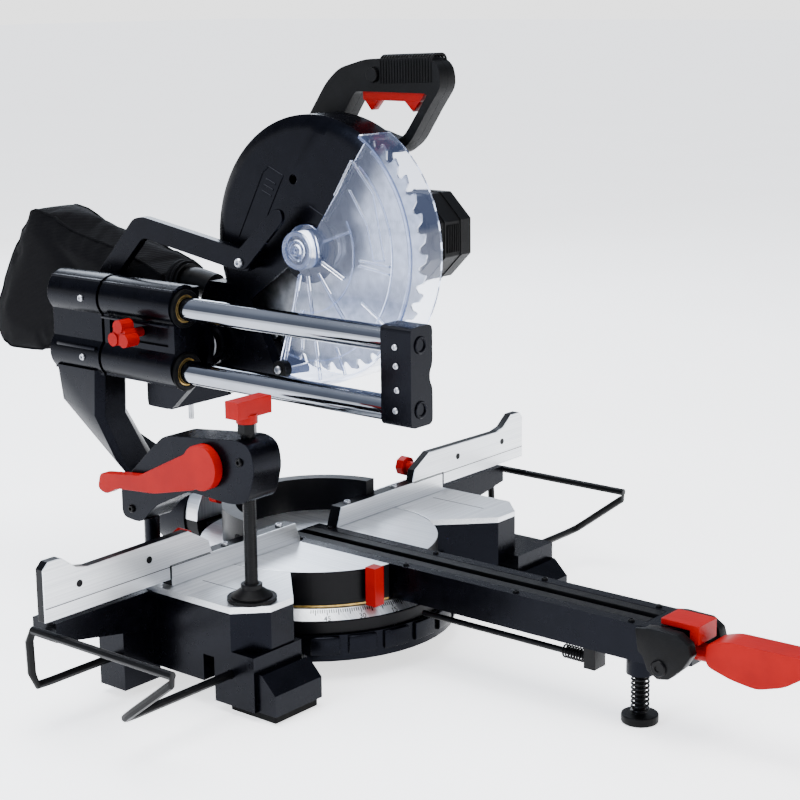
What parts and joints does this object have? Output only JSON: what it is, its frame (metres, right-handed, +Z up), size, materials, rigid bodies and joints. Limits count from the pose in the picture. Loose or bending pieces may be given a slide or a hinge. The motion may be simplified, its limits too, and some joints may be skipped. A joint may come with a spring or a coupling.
{
  "type": "sliding compound mitre saw",
  "caption": "Sliding compound mitre saw with twin side rails, clear lower guard, dust bag, hold-down clamp and wire work supports.",
  "frame": {"origin": "on the floor, under the middle of the saw's bounding box", "axes": "+X to the user's right, +Y away from the user along the mitre arm and rails, +Z up; the user stands at -Y"},
  "size_m": [0.71, 1.0314, 0.5827],
  "materials": {
    "black_paint": "satin black casting with a cool sheen",
    "black_plastic": "matt black moulding",
    "black_wire": "black coated steel rod",
    "rubber": "moulded black rubber",
    "machined_aluminium": "machined and lacquered",
    "chrome_rail": "ground and chromed",
    "steel": "turned or stamped steel",
    "brass": "plain bearing bush",
    "red_plastic": "bright red moulding",
    "clear_plastic": "clear polycarbonate",
    "fabric": "black woven nylon"
  },
  "bodies": {
    "base": {"base_casting": "black_paint", "left_table_plate": "machined_aluminium", "right_table_plate": "machined_aluminium", "front_left_foot_pad": "rubber", "front_right_foot_pad": "rubber", "rear_left_foot_pad": "rubber", "rear_right_foot_pad": "rubber", "scale_ring": "machined_aluminium", "fence_casting": "machined_aluminium", "mitre_pivot_bolt": "steel"},
    "left_fence": {"left_sliding_fence": "machined_aluminium", "left_fence_knob": "red_plastic"},
    "right_fence": {"right_sliding_fence": "machined_aluminium", "right_fence_knob": "red_plastic"},
    "left_wire": {"left_support_wire": "black_wire"},
    "right_wire": {"right_support_wire": "black_wire"},
    "clamp": {"clamp_body": "black_paint"},
    "clamp_screw": {"clamp_spindle": "steel", "clamp_knob": "red_plastic", "clamp_pad": "black_plastic"},
    "clamp_cam": {"clamp_cam_lever": "red_plastic"},
    "turntable": {"turntable_disc": "machined_aluminium", "mitre_arm": "black_paint", "left_kerf_plate": "black_plastic", "right_kerf_plate": "black_plastic", "mitre_pointer": "red_plastic", "detent_rod": "steel"},
    "index": {"index_lever": "red_plastic"},
    "mitre_lock": {"mitre_lock_handle": "red_plastic"},
    "arm_foot": {"arm_support_foot": "black_plastic"},
    "bevel_lock": {"bevel_lock_knob": "red_plastic"},
    "bevel": {"bevel_arm": "black_paint", "lower_rail": "chrome_rail", "upper_rail": "chrome_rail", "front_bracket": "black_paint"},
    "carriage": {"carriage_housing": "black_paint", "lower_rail_bush": "brass", "upper_rail_bush": "brass", "chop_pivot_pin": "steel"},
    "slide_lock": {"slide_lock_knob": "red_plastic"},
    "depth_stop": {"depth_stop_screw": "steel"},
    "head": {"head_casting": "black_paint", "motor_housing": "black_plastic", "motor_end_cap": "black_plastic", "cable_gland": "rubber", "left_handle_shell": "black_plastic", "right_handle_shell": "black_plastic", "carry_handle": "black_paint", "dust_elbow": "black_plastic", "dust_bag": "fabric", "chop_return_spring": "steel"},
    "trigger": {"switch_trigger": "red_plastic"},
    "lock_off": {"lock_off_button": "black_plastic"},
    "guard": {"lower_guard": "clear_plastic"},
    "roller": {"guard_roller": "black_plastic"},
    "link": {"guard_link": "black_paint"},
    "blade": {"saw_blade": "steel", "arbor_shaft": "steel", "blade_flange": "steel", "arbor_bolt": "steel"}
  },
  "joints": [
    {"name": "mitre_turn", "type": "hinge", "parent": "base", "child": "turntable", "pos_m": [0, 0.036, 0.102], "axis": [0, 0, 1], "range_deg": [-30, 45]},
    {"name": "bevel_tilt", "type": "hinge", "parent": "turntable", "child": "bevel", "pos_m": [0, 0.196, 0.102], "axis": [0, 1, 0], "range_deg": [-18, 0]},
    {"name": "carriage_slide", "type": "slide", "parent": "bevel", "child": "carriage", "axis": [0, -1, 0], "range_m": [0, 0.25]},
    {"name": "head_chop", "type": "hinge", "parent": "carriage", "child": "head", "pos_m": [0, 0.152, 0.292], "axis": [1, 0, 0], "range_deg": [0, 63.3]},
    {"name": "guard_swing", "type": "hinge", "parent": "head", "child": "guard", "pos_m": [0, 0.018, 0.4], "axis": [1, 0, 0], "range_deg": [-130, 0]},
    {"name": "link_swing", "type": "hinge", "parent": "head", "child": "link", "pos_m": [0, 0.088, 0.384], "axis": [1, 0, 0], "range_deg": [-19, 0]},
    {"name": "roller_spin", "type": "hinge", "parent": "guard", "child": "roller", "pos_m": [0, 0.0482, 0.2786], "axis": [1, 0, 0], "continuous": true},
    {"name": "blade_spin", "type": "hinge", "parent": "head", "child": "blade", "pos_m": [0, 0.018, 0.4], "axis": [1, 0, 0], "continuous": true},
    {"name": "trigger_press", "type": "slide", "parent": "head", "child": "trigger", "axis": [0, 0, 1], "range_m": [0, 0.005], "stiffness_N_per_m": 400},
    {"name": "lock_off_press", "type": "slide", "parent": "head", "child": "lock_off", "axis": [1, 0, 0], "range_m": [0, 0.003], "stiffness_N_per_m": 400},
    {"name": "slide_lock_turn", "type": "hinge", "parent": "carriage", "child": "slide_lock", "pos_m": [-0.11, 0.191, 0.309], "axis": [1, 0, 0], "range_deg": [0, 120]},
    {"name": "depth_stop_screw_in", "type": "slide", "parent": "carriage", "child": "depth_stop", "axis": [0, 0, 1], "range_m": [-0.003, 0.012]},
    {"name": "bevel_lock_turn", "type": "hinge", "parent": "turntable", "child": "bevel_lock", "pos_m": [-0.026, 0.154, 0.131], "axis": [0, -1, 0], "range_deg": [0, 90]},
    {"name": "index_lift", "type": "hinge", "parent": "turntable", "child": "index", "pos_m": [0, -0.3765, 0.1053], "axis": [-1, 0, 0], "range_deg": [0, 12], "stiffness_Nm_per_rad": 0.8},
    {"name": "mitre_lock_turn", "type": "hinge", "parent": "turntable", "child": "mitre_lock", "pos_m": [0, -0.464, 0.08], "axis": [0, -1, 0], "range_deg": [0, 50]},
    {"name": "arm_foot_screw", "type": "slide", "parent": "turntable", "child": "arm_foot", "axis": [0, 0, 1], "range_m": [0, 0.01]},
    {"name": "left_fence_slide", "type": "slide", "parent": "base", "child": "left_fence", "axis": [-1, 0, 0], "range_m": [0, 0.06]},
    {"name": "right_fence_slide", "type": "slide", "parent": "base", "child": "right_fence", "axis": [1, 0, 0], "range_m": [0, 0.06]},
    {"name": "left_wire_slide", "type": "slide", "parent": "base", "child": "left_wire", "axis": [-1, 0, 0], "range_m": [0, 0.045]},
    {"name": "right_wire_slide", "type": "slide", "parent": "base", "child": "right_wire", "axis": [1, 0, 0], "range_m": [0, 0.045]},
    {"name": "clamp_swivel", "type": "hinge", "parent": "base", "child": "clamp", "pos_m": [-0.186, 0.081, 0.102], "axis": [0, 0, 1], "range_deg": [-40, 0]},
    {"name": "clamp_screw_lift", "type": "slide", "parent": "clamp", "child": "clamp_screw", "axis": [0, 0, 1], "range_m": [0, 0.045]},
    {"name": "clamp_cam_lift", "type": "hinge", "parent": "clamp", "child": "clamp_cam", "pos_m": [-0.2, -0.014, 0.226], "axis": [-1, 0, 0], "range_deg": [-60, 0]}
  ],
  "couplings": [
    {"joint": "guard_swing", "follows": "head_chop", "ratio": -2.0537},
    {"joint": "link_swing", "follows": "head_chop", "ratio": -0.3}
  ]
}
